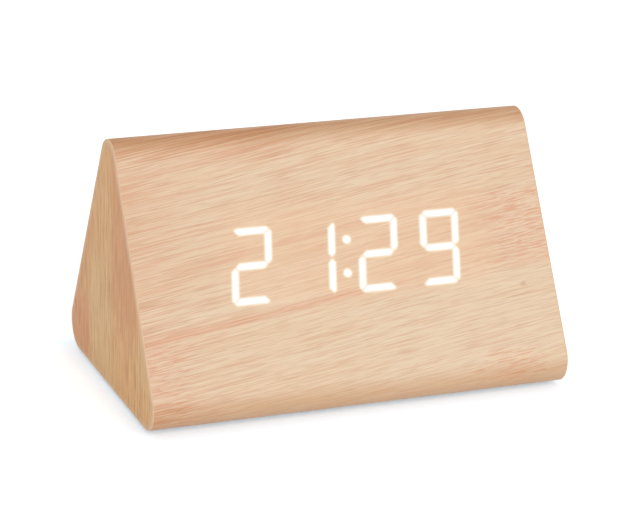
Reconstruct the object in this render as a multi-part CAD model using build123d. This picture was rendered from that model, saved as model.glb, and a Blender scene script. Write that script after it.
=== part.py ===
from build123d import *
from math import cos, pi, radians, sin, sqrt, tan
import os

# Triangular desk clock whose LED digits shine through its wood-print skin.
# X runs along the clock, to the right as its face is read, +Y is the back and +Z is up.
# The origin is on the table under the middle of the clock. Sizes are in millimetres.

# Housing: an equal-sided triangular MDF tube with two end panels, skinned in a wood-print film
length = 120.0
side = 89.4
corner_radius = 7.0
film = 0.4
wall = 4.0
floor_wall = 6.0
end_panel = 4.0
cavity_corner_radius = 3.0
end_edge_radius = 0.25

# Feet: thin rubber pads under the four corners
foot_height = 1.0
foot_radius = 3.5
foot_margin = 2.0
foot_edge = 0.3

# Digits: slanted seven-segment figures, measured between the centre lines of their strokes
shown_time = "2129"
digit_width = 9.5
digit_height = 18.9
digit_pitch = 18.2
stroke = 2.1
stroke_gap = 0.14
corner_fill = 0.4
slant = 8.0
display_shift = 0.4
colon_rise = 4.6
colon_radius = 1.25

# Segment block: a white moulding with one tapered light well for each segment
reflector_margin = 2.6
window_clearance = 0.2

# Display board, its LED chips and what is soldered to its back
board_thickness = 1.6
board_lip = 4.2
led_length = 1.6
led_width = 0.8
led_height = 0.7
led_clearance = 0.2
led_gap = 0.4
display_screw_inset = 2.0
display_screw_spread_share = 0.42
display_screw_radius = 0.9
display_screw_head_radius = 1.6
display_screw_head_height = 1.2
display_screw_bite = 3.0
driver_length = 18.0
driver_width = 7.5
driver_height = 2.3
driver_edge = 0.4
driver_shift = -14.0
driver_pin_count = 14
driver_pin_pitch = 1.27
driver_pin_width = 0.45
driver_pin_thickness = 0.3
driver_pin_reach = 1.4
crystal_radius = 1.0
crystal_length = 6.0
crystal_shift = 3.0

# Push buttons through the rear wall
button_pitch = 12.0
button_row_rise = -6.0
button_radius = 2.5
button_reach = 0.9
button_dome = 0.5
button_clearance = 0.2
button_rest_gap = 0.1
button_travel = 0.5
flange_radius = 3.6
flange_thickness = 1.0

# Key board behind the buttons, carried on spacers
key_board_length = 76.0
key_board_height = 18.0
switch_size = 6.0
switch_height = 3.5
plunger_radius = 1.7
plunger_reach = 1.5
plunger_depth = 1.2
plunger_clearance = 0.05
spacer_radius = 2.6
spacer_inset = 3.2
key_screw_radius = 1.1
key_screw_head_radius = 2.1
key_screw_head_height = 1.4
key_screw_bite = 3.0
screw_clearance = 0.1
buzzer_radius = 6.0
buzzer_gap = 0.6
buzzer_spacer_gap = 0.2
buzzer_port_radius = 1.2
buzzer_port_depth = 1.5
sound_hole_radius = 1.0

# Power socket: a round barrel inlet beside the buttons
socket_spacer_gap = 0.8
socket_size = 9.0
socket_nose_radius = 3.2
socket_nose_clearance = 0.15
socket_nose_inset = 0.2
socket_bore_radius = 1.8
socket_back = 1.2
socket_pin_radius = 0.65
socket_pin_inset = 1.0

# Ribbon cable and its two headers
ribbon_shift = 19.0
ribbon_width = 8.0
ribbon_thickness = 0.9
ribbon_lead_out = 6.0
header_length = 10.0
header_depth = 5.0
display_header_rise = -11.0
display_header_height = 4.0
key_header_rise = -8.0
key_header_height = 3.0

# Base plate and the floor opening that it closes
plate_recess = 0.2
plate_thickness = 1.8
plate_corner_radius = 3.0
opening_clearance = 1.0
ledge_length = 8.0
ledge_width = 2.0
rebate_clearance = 0.2
base_screw_radius = 1.25
base_screw_head_radius = 2.6
base_screw_head_height = 1.5
base_screw_length = 5.4
base_screw_inset = 4.0
base_screw_spread_share = 0.36
cross_slot_width = 0.7
cross_slot_length = 3.0
cross_slot_depth = 0.8

# Four AAA cells side by side, and the tray that holds them
cell_count = 4
cell_radius = 5.25
cell_length = 44.5
cell_pitch = 11.0
cell_nub_radius = 1.9
cell_nub_height = 0.8
cell_nub_edge = 0.3
cell_edge = 0.4
cell_lift = 1.4
tray_wall = 1.6
tray_roof = 1.5
tray_roof_gap = 0.4
rib_width = 1.0
rib_depth = 2.0
seat_clearance = 0.1
seat_thickness = 1.5
seat_lip = 1.4

# Battery contacts: spring-steel plates with soldered coil springs
contact_thickness = 0.4
contact_reach = 4.4
contact_corner_radius = 1.0
tag_width = 2.0
tag_reach = 2.0
tag_height = 0.8
tag_clearance = 0.1
spring_height = 5.2
spring_base_radius = 3.4
spring_tip_radius = 2.0
spring_turns = 3
spring_wire = 0.5
spring_end_bend = 0.6
wire_sides = 6

# Battery leads: two thin insulated wires from the contact tags to a plug on the key board
lead_diameter = 1.1
lead_spacing = 2.5
lead_end_run = 3.5
lead_start_run = 4.4
lead_plug_end_gap = 5.0
lead_plug_rise = -6.5
lead_plug_width = 6.0
lead_plug_depth = 5.0
lead_plug_height = 3.0
bend_share = 0.45
# Where the black lead bows round the tray: past its end, across it and over its roof, in shares of the side
lead_bow = [(0.035, -0.148, 0.045), (0.060, -0.073, 0.042), (0.071, 0.022, 0.016),
            (0.066, 0.112, -0.011), (0.056, 0.175, 0.009)]

# Battery door: two fixed tabs at one end and a sprung latch at the other
door_thickness = 1.6
door_lap = 1.2
door_gap = 0.3
door_corner_radius = 1.0
door_edge = 0.2
tab_width = 5.0
tab_reach = 1.8
tab_thickness = 1.0
tab_clearance = 0.1
tab_root = 2.0
tab_swing_clearance = 0.3
grip_rib_count = 5
grip_rib_pitch = 2.0
grip_rib_width = 0.8
grip_rib_depth = 0.4
grip_rib_length = 14.0
latch_width = 12.0
latch_thickness = 0.9
latch_height = 5.0
latch_bend_radius = 1.1
latch_bite = 0.3
latch_nose_height = 1.3
latch_pad_height = 1.2
latch_pad_reach = 0.6

# Small extra length that lets a cutter pass through a face
overrun = 1.0

root3 = sqrt(3)
half_length = length / 2
face_middle = foot_height + side * root3 / 4
front = Plane(origin=(0, -side / 4, face_middle), x_dir=(1, 0, 0), z_dir=(0, -root3 / 2, 1 / 2))
rear = Plane(origin=(0, side / 4, face_middle), x_dir=(-1, 0, 0), z_dir=(0, root3 / 2, 1 / 2))
skin = film + wall

# Sizes that follow from the driving ones
well_foot_share = (led_width + 2 * led_clearance) / stroke
block_width = ((len(shown_time) - 1) * digit_pitch + digit_width + stroke
               + digit_height * tan(radians(slant)) + 2 * reflector_margin)
block_height = digit_height + stroke + 2 * reflector_margin
window_width = block_width + 2 * window_clearance
window_height = block_height + 2 * window_clearance
display_board_width = window_width + 2 * board_lip
display_board_height = window_height + 2 * board_lip
lens_depth = wall - led_height - led_gap
key_gap = button_rest_gap + flange_thickness + plunger_reach + switch_height
key_board_face = -(skin + key_gap)
key_board_back = key_board_face - board_thickness
display_board_face = -skin
display_board_back = display_board_face - board_thickness
spacer_shift = key_board_length / 2 - spacer_inset
spacer_rise = key_board_height / 2 - spacer_inset
socket_shift = spacer_shift - spacer_radius - socket_spacer_gap - socket_size / 2
buzzer_spacer_reach = buzzer_radius + spacer_radius + buzzer_spacer_gap
buzzer_shift = sqrt(buzzer_spacer_reach ** 2 - spacer_rise ** 2) - spacer_shift
lead_plug_shift = key_board_length / 2 - lead_plug_end_gap - lead_plug_width / 2

tray_length = cell_length + spring_height + 2 * contact_thickness
tray_width = cell_count * cell_pitch
door_length = tray_length + 2 * door_lap
door_width = tray_width + 2 * door_lap
pocket_length = door_length + 2 * door_gap
pocket_width = door_width + 2 * door_gap
seat_length = pocket_length + 2 * seat_lip
seat_width = pocket_width + 2 * seat_lip
tray_end = tray_length / 2 + tray_wall
latch_rise = tray_end + door_lap + latch_thickness / 2
latch_fall = latch_rise + 2 * latch_bend_radius
notch_end = latch_fall + latch_thickness / 2 + door_gap
opening_length = 2 * (notch_end + opening_clearance)
opening_width = seat_width + 2 * opening_clearance
plate_length = opening_length + 2 * ledge_length
plate_width = opening_width + 2 * ledge_width
plate_outer = foot_height + plate_recess
plate_inner = plate_outer + plate_thickness
door_inner = plate_outer + door_thickness
pocket_top = door_inner + seat_clearance
seat_top = pocket_top + seat_thickness
cell_middle = door_inner + cell_lift + cell_radius
tray_ceiling = cell_middle + cell_radius + tray_roof_gap
tray_top = tray_ceiling + tray_roof
cell_rows = [(i - (cell_count - 1) / 2) * cell_pitch for i in range(cell_count)]
tab_rows = [-tray_width / 4, tray_width / 4]


def slab(plane, outline, low, high):
    """The outline, drawn on the plane, made solid between two heights above it."""
    return extrude(plane.offset(low) * outline, high - low)


def block(x, y, z):
    """A box from its lowest and highest place on each axis."""
    size = [high - low for low, high in (x, y, z)]
    middle = [(low + high) / 2 for low, high in (x, y, z)]
    return Pos(*middle) * Box(*size)


def rod(plane, u, v, radius, low, high):
    """A round bar square to the plane, between two heights above it."""
    return slab(plane, Pos(u, v) * Circle(radius), low, high)


def housing_outline(inset, least_radius):
    """The rounded triangle of the clock's end, moved in from the outer skin."""
    edge = side - 2 * root3 * inset
    base = foot_height + inset
    outline = Polygon((-edge / 2, base), (edge / 2, base), (0, base + edge * root3 / 2), align=None)
    return fillet(outline.vertices(), max(corner_radius - inset, least_radius))


def prism(inset, low, high, least_radius=cavity_corner_radius):
    """The rounded triangle run along X."""
    return slab(Plane.YZ, housing_outline(inset, least_radius), low, high)


# Places of the segments in one digit: middle across, middle up, and whether the bar stands up
segment_places = {
    "a": (0, digit_height / 2, False),
    "b": (digit_width / 2, digit_height / 4, True),
    "c": (digit_width / 2, -digit_height / 4, True),
    "d": (0, -digit_height / 2, False),
    "e": (-digit_width / 2, -digit_height / 4, True),
    "f": (-digit_width / 2, digit_height / 4, True),
    "g": (0, 0, False),
}
segments_of = {"0": "abcdef", "1": "bc", "2": "abged", "3": "abgcd", "4": "fgbc",
               "5": "afgcd", "6": "afgecd", "7": "abc", "8": "abcdefg", "9": "abcdfg"}
digit_places = [display_shift + (i - (len(shown_time) - 1) / 2) * digit_pitch
                for i in range(len(shown_time))]


def lean(u, v):
    """A point moved sideways with its height, as the figures slant."""
    return u + v * tan(radians(slant)), v


def bar_outline(digit_u, name, scale=1.0):
    """One segment, scaled about its middle: a long hexagon whose tips lean out into the digit's corners."""
    u, v, upright = segment_places[name]
    outward = -1 if (u if upright else v) < 0 else 1
    span = (digit_height / 2 if upright else digit_width) - 2 * stroke_gap
    tip = span * scale / 2
    half = stroke * scale / 2
    corners = []
    for end in (1, -1):
        meets_corner = end * v > 0 if upright else v != 0
        fill = corner_fill * scale if meets_corner else 0
        outer_edge = (end * (tip - half + 2 * fill), half * outward)
        point = (end * (tip + fill), fill * outward)
        inner_edge = (end * (tip - half), -half * outward)
        corners += [outer_edge, point, inner_edge][::end]
    anticlockwise = corners if upright == (outward > 0) else corners[::-1]
    places = [lean(u + q, v + p) if upright else lean(u + p, v + q) for p, q in anticlockwise]
    return Polygon(*[(digit_u + p, q) for p, q in places], align=None)


def dot_outline(direction, scale=1.0):
    """One dot of the colon."""
    u, v = lean(0, direction * colon_rise)
    return Pos(display_shift + u, v) * Circle(colon_radius * scale)


def all_outlines(scale=1.0):
    """Every segment and dot that the display has, lit or not."""
    bars = [bar_outline(u, name, scale) for u in digit_places for name in segment_places]
    return bars + [dot_outline(direction, scale) for direction in (1, -1)]


def lit_outlines():
    """The segments and dots that show the time."""
    bars = [bar_outline(u, name)
            for u, digit in zip(digit_places, shown_time) for name in segments_of[digit]]
    return bars + [dot_outline(direction) for direction in (1, -1)]


def rear_holes(low, high):
    """What the rear wall is pierced by: three buttons, the power socket and the sound hole."""
    button_hole = button_radius + button_clearance
    socket_hole = socket_nose_radius + socket_nose_clearance
    holes = [rod(rear, u, button_row_rise, button_hole, low, high) for u in button_places()]
    holes.append(rod(rear, socket_shift, button_row_rise, socket_hole, low, high))
    holes.append(rod(rear, buzzer_shift, button_row_rise, sound_hole_radius, low, high))
    return holes


def button_places():
    """Where the three buttons stand along the rear face."""
    return [-button_pitch, 0, button_pitch]


def base_screw_places():
    """The four screws that hold the base plate to the ledges."""
    x = plate_length / 2 - base_screw_inset
    y = plate_width * base_screw_spread_share
    return [(i * x, j * y) for i in (-1, 1) for j in (-1, 1)]


def display_screw_places():
    """The four screws above and below the segment block."""
    u = display_board_width * display_screw_spread_share
    v = display_board_height / 2 - display_screw_inset
    return [(i * u + display_shift, j * v) for i in (-1, 1) for j in (-1, 1)]


def spacer_places():
    """The four spacers at the corners of the key board."""
    return [(i * spacer_shift, button_row_rise + j * spacer_rise) for i in (-1, 1) for j in (-1, 1)]


def floor_rebate():
    """The shallow recess that the base plate drops into, through the film and into the MDF."""
    outline = RectangleRounded(plate_length + 2 * rebate_clearance, plate_width + 2 * rebate_clearance,
                               plate_corner_radius)
    return slab(Plane.XY, outline, 0, plate_inner)


def mdf_sleeve():
    """The routed MDF tube: a window for the display, a floor opening with a rebate, and screw holes."""
    reach = half_length - film - end_panel
    body = prism(film, -reach, reach)
    cavity = prism(skin, -reach - overrun, reach + overrun)
    floor_top = foot_height + film + floor_wall
    cavity &= block((-length, length), (-side, side), (floor_top, floor_top + side))
    window_outline = Pos(display_shift, 0) * Rectangle(window_width, window_height)
    window = slab(front, window_outline, -skin - overrun, overrun)
    opening_outline = RectangleRounded(opening_length, opening_width, plate_corner_radius)
    opening = slab(Plane.XY, opening_outline, 0, floor_top + overrun)
    pilots = [Pos(x, y) * Cylinder(base_screw_radius, 2 * (plate_outer + base_screw_length))
              for x, y in base_screw_places()]
    pilots += [rod(rear, u, v, key_screw_radius, -skin - overrun, key_screw_bite - skin)
               for u, v in spacer_places()]
    pilots += [rod(front, u, v, display_screw_radius, -skin - overrun, display_screw_bite - skin)
               for u, v in display_screw_places()]
    return body - cavity - window - floor_rebate() - opening - pilots - rear_holes(-skin - overrun, overrun)


def end_panels():
    """The two MDF panels glued to the ends of the tube, left then right."""
    outer = half_length - film
    inner = outer - end_panel
    return prism(film, -outer, -inner), prism(film, inner, outer)


def wrap_film():
    """The printed film round the three long faces, thinned right through where the lit segments show."""
    reach = half_length - film
    tube = prism(0, -reach, reach) - prism(film, -reach - overrun, reach + overrun)
    lit = [slab(front, outline, -film - overrun, overrun) for outline in lit_outlines()]
    return tube - floor_rebate() - lit - rear_holes(-film - overrun, overrun)


def end_films():
    """The printed film on each end panel, with its outer edge eased, left then right."""
    inner = half_length - film
    right = prism(0, inner, half_length)
    rim = right.faces().sort_by(Axis.X)[-1].edges()
    right = fillet(rim, end_edge_radius)
    return mirror(right, Plane.YZ), right


def lit_segments():
    """The patches of film that glow: the time, in slanted seven-segment figures with a colon."""
    return Compound([slab(front, outline, -film, 0).solid() for outline in lit_outlines()])


def wells(depth):
    """The tapered light wells, from the back of the film down to the given depth."""
    share = 1 - (1 - well_foot_share) * depth / wall
    mouths = [front.offset(-film) * outline for outline in all_outlines()]
    feet = [front.offset(-film - depth) * outline for outline in all_outlines(share)]
    return [loft([mouth, foot], ruled=True) for mouth, foot in zip(mouths, feet)]


def segment_block():
    """The white reflector moulding that fills the window and holds every light well."""
    outline = Pos(display_shift, 0) * Rectangle(block_width, block_height)
    return slab(front, outline, -skin, -film) - wells(wall)


def segment_lenses():
    """The milky resin that fills the mouth of each well, clear of the LED chip at its foot."""
    return Compound([lens.solid() for lens in wells(lens_depth)])


def led_chips():
    """One LED chip at the foot of each well, and a square one under each dot."""
    chips = []
    for digit_u in digit_places:
        for u, v, upright in segment_places.values():
            place_u, place_v = lean(u, v)
            size = (led_width, led_length) if upright else (led_length, led_width)
            outline = Pos(digit_u + place_u, place_v) * Rectangle(*size)
            chips.append(slab(front, outline, display_board_face, display_board_face + led_height).solid())
    for direction in (1, -1):
        u, v = lean(display_shift, direction * colon_rise)
        outline = Pos(u, v) * Rectangle(led_width, led_width)
        chips.append(slab(front, outline, display_board_face, display_board_face + led_height).solid())
    return Compound(chips)


def display_board():
    """The circuit board behind the segment block, held to the front wall by four screws."""
    outline = Pos(display_shift, 0) * Rectangle(display_board_width, display_board_height)
    board = slab(front, outline, display_board_back, display_board_face)
    hole = display_screw_radius + screw_clearance
    return board - [rod(front, u, v, hole, display_board_back - overrun, display_board_face + overrun)
                    for u, v in display_screw_places()]


def pan_screw(plane, u, v, seat, tip, shank_radius, head_radius, head_height):
    """A pan-headed screw whose head sits below the seat height, and whose tip is above it."""
    shank = rod(plane, u, v, shank_radius, seat, tip)
    head = rod(plane, u, v, head_radius, seat - head_height, seat)
    head = chamfer(head.edges().group_by(Axis((0, 0, 0), plane.z_dir))[0], head_height / 3)
    return (shank + head).solid()


def display_screws():
    """The four small screws that hold the display board."""
    return Compound([
        pan_screw(front, u, v, display_board_back, display_screw_bite - skin, display_screw_radius,
                  display_screw_head_radius, display_screw_head_height)
        for u, v in display_screw_places()])


def driver_chip():
    """The clock and display driver: a moulded package with a row of legs down each long side."""
    body = slab(front, Pos(driver_shift, 0) * Rectangle(driver_length, driver_width),
                display_board_back - driver_height, display_board_back - driver_pin_thickness)
    lid = body.faces().sort_by(Axis((0, 0, 0), front.z_dir))[0]
    body = chamfer(lid.edges(), driver_edge)
    legs = []
    leg_v = (driver_width + driver_pin_reach) / 2
    for i in range(driver_pin_count):
        leg_u = driver_shift + (i - (driver_pin_count - 1) / 2) * driver_pin_pitch
        for direction in (1, -1):
            foot = Pos(leg_u, direction * leg_v) * Rectangle(driver_pin_width, driver_pin_reach)
            legs.append(slab(front, foot, display_board_back - driver_pin_thickness, display_board_back))
            riser = Pos(leg_u, direction * (driver_width + driver_pin_thickness) / 2)
            riser *= Rectangle(driver_pin_width, driver_pin_thickness)
            legs.append(slab(front, riser, display_board_back - driver_height / 2, display_board_back))
    return body + legs


def clock_crystal():
    """The tuning-fork crystal: a small metal can lying on the display board."""
    start = front.offset(display_board_back - crystal_radius)
    along = Plane(origin=(start * Pos(crystal_shift, 0)).position, x_dir=front.y_dir, z_dir=front.x_dir)
    can = slab(along, Circle(crystal_radius), 0, crystal_length)
    return fillet(can.edges(), crystal_radius / 3)


def push_button(u):
    """A domed push button whose flange lies behind the rear wall."""
    seat = -skin - button_rest_gap
    stem = rod(rear, u, button_row_rise, button_radius, seat - flange_thickness, button_reach)
    dome = stem.edges().group_by(Axis((0, 0, 0), rear.z_dir))[-1]
    stem = fillet(dome, button_dome)
    return stem + rod(rear, u, button_row_rise, flange_radius, seat - flange_thickness, seat)


def switch_top():
    """Height of the switch bodies' tops over the rear face."""
    return key_board_face + switch_height


def switch_plunger(u):
    """The switch's own plunger, which the button bears on."""
    low, high = switch_top() - plunger_depth, switch_top() + plunger_reach
    return rod(rear, u, button_row_rise, plunger_radius, low, high)


def key_switch(u):
    """A square tact switch with a well that its plunger sinks into."""
    outline = Pos(u, button_row_rise) * Rectangle(switch_size, switch_size)
    body = slab(rear, outline, key_board_face, switch_top())
    well_depth = plunger_depth + button_travel + plunger_clearance
    return body - rod(rear, u, button_row_rise, plunger_radius + plunger_clearance,
                      switch_top() - well_depth, switch_top() + overrun)


def key_board():
    """The circuit board that carries the switches, the socket and the buzzer."""
    outline = Pos(0, button_row_rise) * Rectangle(key_board_length, key_board_height)
    board = slab(rear, outline, key_board_back, key_board_face)
    hole = key_screw_radius + screw_clearance
    return board - [rod(rear, u, v, hole, key_board_back - overrun, key_board_face + overrun)
                    for u, v in spacer_places()]


def key_spacers():
    """Four tubes that hold the key board off the rear wall."""
    bore = key_screw_radius + screw_clearance
    low, high = key_board_face - overrun, overrun - skin
    tubes = [rod(rear, u, v, spacer_radius, key_board_face, -skin) - rod(rear, u, v, bore, low, high)
             for u, v in spacer_places()]
    return Compound([tube.solid() for tube in tubes])


def key_screws():
    """The four screws through the key board and its spacers into the rear wall."""
    return Compound([
        pan_screw(rear, u, v, key_board_back, key_screw_bite - skin, key_screw_radius,
                  key_screw_head_radius, key_screw_head_height)
        for u, v in spacer_places()])


def buzzer():
    """The round alarm buzzer, with its port facing the sound hole."""
    top = -skin - buzzer_gap
    can = rod(rear, buzzer_shift, button_row_rise, buzzer_radius, key_board_face, top)
    low, high = top - buzzer_port_depth, top + overrun
    return can - rod(rear, buzzer_shift, button_row_rise, buzzer_port_radius, low, high)


def power_socket():
    """The barrel inlet: a square body with a round nose that comes through the rear wall."""
    body = slab(rear, Pos(socket_shift, button_row_rise) * Rectangle(socket_size, socket_size),
                key_board_face, -skin - button_rest_gap)
    nose = rod(rear, socket_shift, button_row_rise, socket_nose_radius, key_board_face, -socket_nose_inset)
    bore = rod(rear, socket_shift, button_row_rise, socket_bore_radius,
               key_board_face + socket_back, overrun)
    return body + nose - bore


def socket_pin():
    """The contact pin in the middle of the inlet."""
    pin = rod(rear, socket_shift, button_row_rise, socket_pin_radius,
              key_board_face + socket_back, -socket_nose_inset - socket_pin_inset)
    tip = pin.edges().group_by(Axis((0, 0, 0), rear.z_dir))[-1]
    return fillet(tip, socket_pin_radius / 2)


def header(plane, u, v, face, height):
    """A plug-in cable header that stands on the back of a board."""
    return slab(plane, Pos(u, v) * Rectangle(header_length, header_depth), face - height, face)


def display_header():
    """The ribbon's header on the display board."""
    return header(front, ribbon_shift, display_header_rise, display_board_back, display_header_height)


def key_header():
    """The ribbon's header on the key board, in line with the other."""
    return header(rear, -ribbon_shift, key_header_rise, key_board_back, key_header_height)


def place_on(plane, u, v, w):
    """The point at the given place on a sloping face and height over it."""
    return plane.from_local_coords(Vector(u, v, w))


def ribbon_cable():
    """The flat cable between the two boards: out of one header, down, across and into the other."""
    start = place_on(front, ribbon_shift, display_header_rise, display_board_back - display_header_height)
    end = place_on(rear, -ribbon_shift, key_header_rise, key_board_back - key_header_height)
    leave = start - front.z_dir * ribbon_lead_out
    arrive = end - rear.z_dir * ribbon_lead_out
    section = Rectangle(ribbon_width, ribbon_thickness)
    return tube_along("ribbon cable", [start, leave, arrive, end], section)


def tube_along(name, points, section):
    """A cable's section swept along straight runs, joined by arcs as large as the runs allow."""
    runs = [end - start for start, end in zip(points, points[1:])]
    radii = []
    for run, following in zip(runs, runs[1:]):
        half_turn = radians(run.get_angle(following)) / 2
        radii.append(bend_share * min(run.length, following.length) / tan(half_turn))
    path = FilletPolyline(*points, radius=radii)
    start = Plane(origin=points[0], x_dir=(1, 0, 0), z_dir=runs[0])
    cable = sweep(start * section, path=path)
    filled = cable.volume / (section.area * path.length)
    print(name, "bend radii", [round(radius, 1) for radius in radii])
    print(name, "volume over section times length", round(filled, 3))
    return cable


def tray_and_plate():
    """The black moulding that closes the floor: a screwed plate with the battery tray standing on it."""
    plate_outline = RectangleRounded(plate_length, plate_width, plate_corner_radius)
    plate = slab(Plane.XY, plate_outline, plate_outer, plate_inner)
    half_x, half_y = tray_length / 2, tray_width / 2
    seat = block((-seat_length / 2, seat_length / 2), (-seat_width / 2, seat_width / 2),
                 (plate_outer, seat_top))
    tray = block((-tray_end, tray_end), (-half_y - tray_wall, half_y + tray_wall), (plate_outer, tray_top))
    pocket_outline = RectangleRounded(pocket_length, pocket_width, door_corner_radius + door_gap)
    pocket = slab(Plane.XY, pocket_outline, 0, pocket_top)
    inside = block((-half_x, half_x), (-half_y, half_y), (0, tray_ceiling))
    rib_reach = half_x - spring_height
    ribs = [block((-rib_reach, rib_reach), (y - rib_width / 2, y + rib_width / 2),
                  (tray_ceiling - rib_depth, tray_ceiling + tray_roof / 2))
            for y in (-cell_pitch, 0, cell_pitch)]
    return plate + seat + tray - pocket - inside + ribs


def tab_slots():
    """The slots that the door's two tabs swing up in, through the tray's end wall and over the plate."""
    pivot_x = -(door_length + door_gap) / 2
    tab_tip = -door_length / 2 - door_gap - tab_reach
    lift = tab_clearance + tab_thickness + plate_thickness
    top = plate_outer + sqrt(lift ** 2 + (pivot_x - tab_tip) ** 2) + tab_swing_clearance
    edge = -pocket_length / 2
    cuts = []
    for y in tab_rows:
        span = (y - tab_width / 2 - door_gap, y + tab_width / 2 + door_gap)
        cuts.append(block((edge, tab_root - tray_length / 2), span, (door_inner, top)))
        cuts.append(block((tab_tip - 2 * door_gap, edge + door_gap), span, (plate_inner, top)))
    return cuts


def latch_notch():
    """The gap beside the door's free end, through the seat and the plate, that the latch springs in."""
    half = latch_width / 2 + door_gap
    through = block((tray_end, notch_end), (-half, half), (0, seat_top + overrun))
    under_wall = block((tray_length / 2 + door_lap, notch_end), (-half, half), (0, pocket_top))
    return [through, under_wall]


def tag_slots():
    """The slots in the tray's end wall that the two end contacts' tags come through."""
    half = tag_width / 2 + tag_clearance
    top = cell_middle + contact_reach + tag_clearance
    low = top - tag_height - 2 * tag_clearance
    return [block((-tray_end - overrun, overrun - tray_length / 2), (y - half, y + half), (low, top))
            for y in (cell_rows[0], cell_rows[-1])]


def base_plate():
    """The tray and plate, with the slots, the latch's notch and the countersunk screw holes."""
    holes = []
    for x, y in base_screw_places():
        radius = base_screw_radius + screw_clearance
        head = Cone(base_screw_head_radius + screw_clearance, radius, base_screw_head_height,
                    align=(Align.CENTER, Align.CENTER, Align.MIN))
        holes.append(Pos(x, y, plate_outer) * head)
        holes.append(Pos(x, y) * Cylinder(radius, 2 * (plate_inner + overrun)))
    return tray_and_plate() - tab_slots() - latch_notch() - tag_slots() - holes


def base_screws():
    """The four countersunk screws that hold the base plate, with crossed driver slots."""
    upward = (Align.CENTER, Align.CENTER, Align.MIN)
    head = Cone(base_screw_head_radius, base_screw_radius, base_screw_head_height, align=upward)
    shank = Cylinder(base_screw_radius, base_screw_length, align=upward)
    slot = Box(cross_slot_length, cross_slot_width, 2 * cross_slot_depth)
    slots = [Rot(0, 0, turn) * slot for turn in (0, 90)]
    screw = head + shank - slots
    return Compound([(Pos(x, y, plate_outer) * screw).solid() for x, y in base_screw_places()])


def rubber_feet():
    """The four thin rubber pads, with bevelled rims."""
    x = half_length - foot_margin - foot_radius
    y = plate_width / 2 - foot_radius
    foot = Cylinder(foot_radius, foot_height, align=(Align.CENTER, Align.CENTER, Align.MIN))
    foot = chamfer(foot.edges().group_by(Axis.Z)[0], foot_edge)
    return Compound([(Pos(i * x, j * y) * foot).solid() for i in (-1, 1) for j in (-1, 1)])


def battery_door():
    """The door: a flat plate with two hooked tabs at its fixed end and grip grooves near its latch."""
    outline = RectangleRounded(door_length, door_width, door_corner_radius)
    door = slab(Plane.XY, outline, plate_outer, door_inner)
    door = chamfer(door.faces().sort_by(Axis.Z)[0].edges(), door_edge)
    tab_low = plate_inner + tab_clearance
    tab_high = tab_low + tab_thickness
    end = -door_length / 2
    tabs = []
    for y in tab_rows:
        span = (y - tab_width / 2, y + tab_width / 2)
        tabs.append(block((end, end + tab_root), span, (plate_outer + door_thickness / 2, tab_high)))
        tabs.append(block((end - door_gap - tab_reach, end + tab_root), span, (tab_low, tab_high)))
    grooves = []
    for i in range(grip_rib_count):
        x = door_length / 2 - (i + 2) * grip_rib_pitch
        grooves.append(block((x - grip_rib_width / 2, x + grip_rib_width / 2),
                             (-grip_rib_length / 2, grip_rib_length / 2), (0, plate_outer + grip_rib_depth)))
    return door + tabs - grooves


def door_latch():
    """The sprung tongue: out from the door's end, up, round a bend and down again to a hooked thumb pad."""
    half = latch_thickness / 2
    bend_z = plate_outer + latch_height
    nose_low = plate_inner + seat_clearance
    nose_tip = notch_end + latch_bite
    outer, inner = latch_bend_radius + half, latch_bend_radius - half
    bend_middle = (latch_rise + latch_fall) / 2
    foot = strip((door_length / 2, latch_rise + half), (door_inner - latch_thickness, door_inner))
    rise = strip((latch_rise - half, latch_rise + half), (door_inner - latch_thickness, bend_z))
    bend = Pos(bend_middle, bend_z) * (Circle(outer) - Circle(inner))
    bend &= strip((bend_middle - outer, bend_middle + outer), (bend_z, bend_z + outer))
    fall = strip((latch_fall - half, latch_fall + half), (plate_outer, bend_z))
    pad_near = latch_fall - half - latch_pad_reach
    pad = strip((pad_near, latch_fall + half), (plate_outer, plate_outer + latch_pad_height))
    nose = Polygon((latch_fall, nose_low), (nose_tip, nose_low), (nose_tip, nose_low + latch_bite),
                   (latch_fall, nose_low + latch_nose_height), align=None)
    profile = foot + rise + bend + fall + pad + nose
    return extrude(Plane.XZ * profile, latch_width / 2, both=True)


def strip(across, up):
    """A rectangle from its lowest and highest place each way."""
    size = [high - low for low, high in (across, up)]
    middle = [(low + high) / 2 for low, high in (across, up)]
    return Pos(*middle) * Rectangle(*size)


def nub_side(row):
    """Which end of the tray a cell's nub faces: the cells lie alternately."""
    return 1 if row % 2 == 0 else -1


def end_plane(direction, row, inset):
    """A plane on the tray's end wall, moved in by the inset, that looks into the tray along a cell."""
    x = direction * (tray_length / 2 - inset)
    return Plane(origin=(x, cell_rows[row], cell_middle), x_dir=(0, 1, 0), z_dir=(-direction, 0, 0))


def cell(row):
    """One AAA cell, its nub against its contact."""
    along = end_plane(nub_side(row), row, contact_thickness)
    can = slab(along, Circle(cell_radius), cell_nub_height, cell_length)
    can = chamfer(can.edges(), cell_edge)
    nub = slab(along, Circle(cell_nub_radius), 0, cell_nub_height + cell_edge)
    nub = chamfer(nub.edges().group_by(Axis((0, 0, 0), along.z_dir))[0], cell_nub_edge)
    return can + nub


def contact_plate(direction, first_row, last_row):
    """A spring-steel contact flat against the tray's end wall, over one cell or across two."""
    across = (cell_rows[first_row] - contact_reach, cell_rows[last_row] + contact_reach)
    wall_face = direction * tray_length / 2
    face = direction * (tray_length / 2 - contact_thickness)
    up = (cell_middle - contact_reach, cell_middle + contact_reach)
    plate = block(sorted((wall_face, face)), across, up)
    return fillet(plate.edges().filter_by(Axis.X), contact_corner_radius)


def contact_tag(row):
    """The solder tag of an end contact, out through the tray's wall."""
    y = cell_rows[row]
    top = cell_middle + contact_reach
    return block((-tray_end - tag_reach, contact_thickness - tray_length / 2),
                 (y - tag_width / 2, y + tag_width / 2), (top - tag_height, top))


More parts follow.
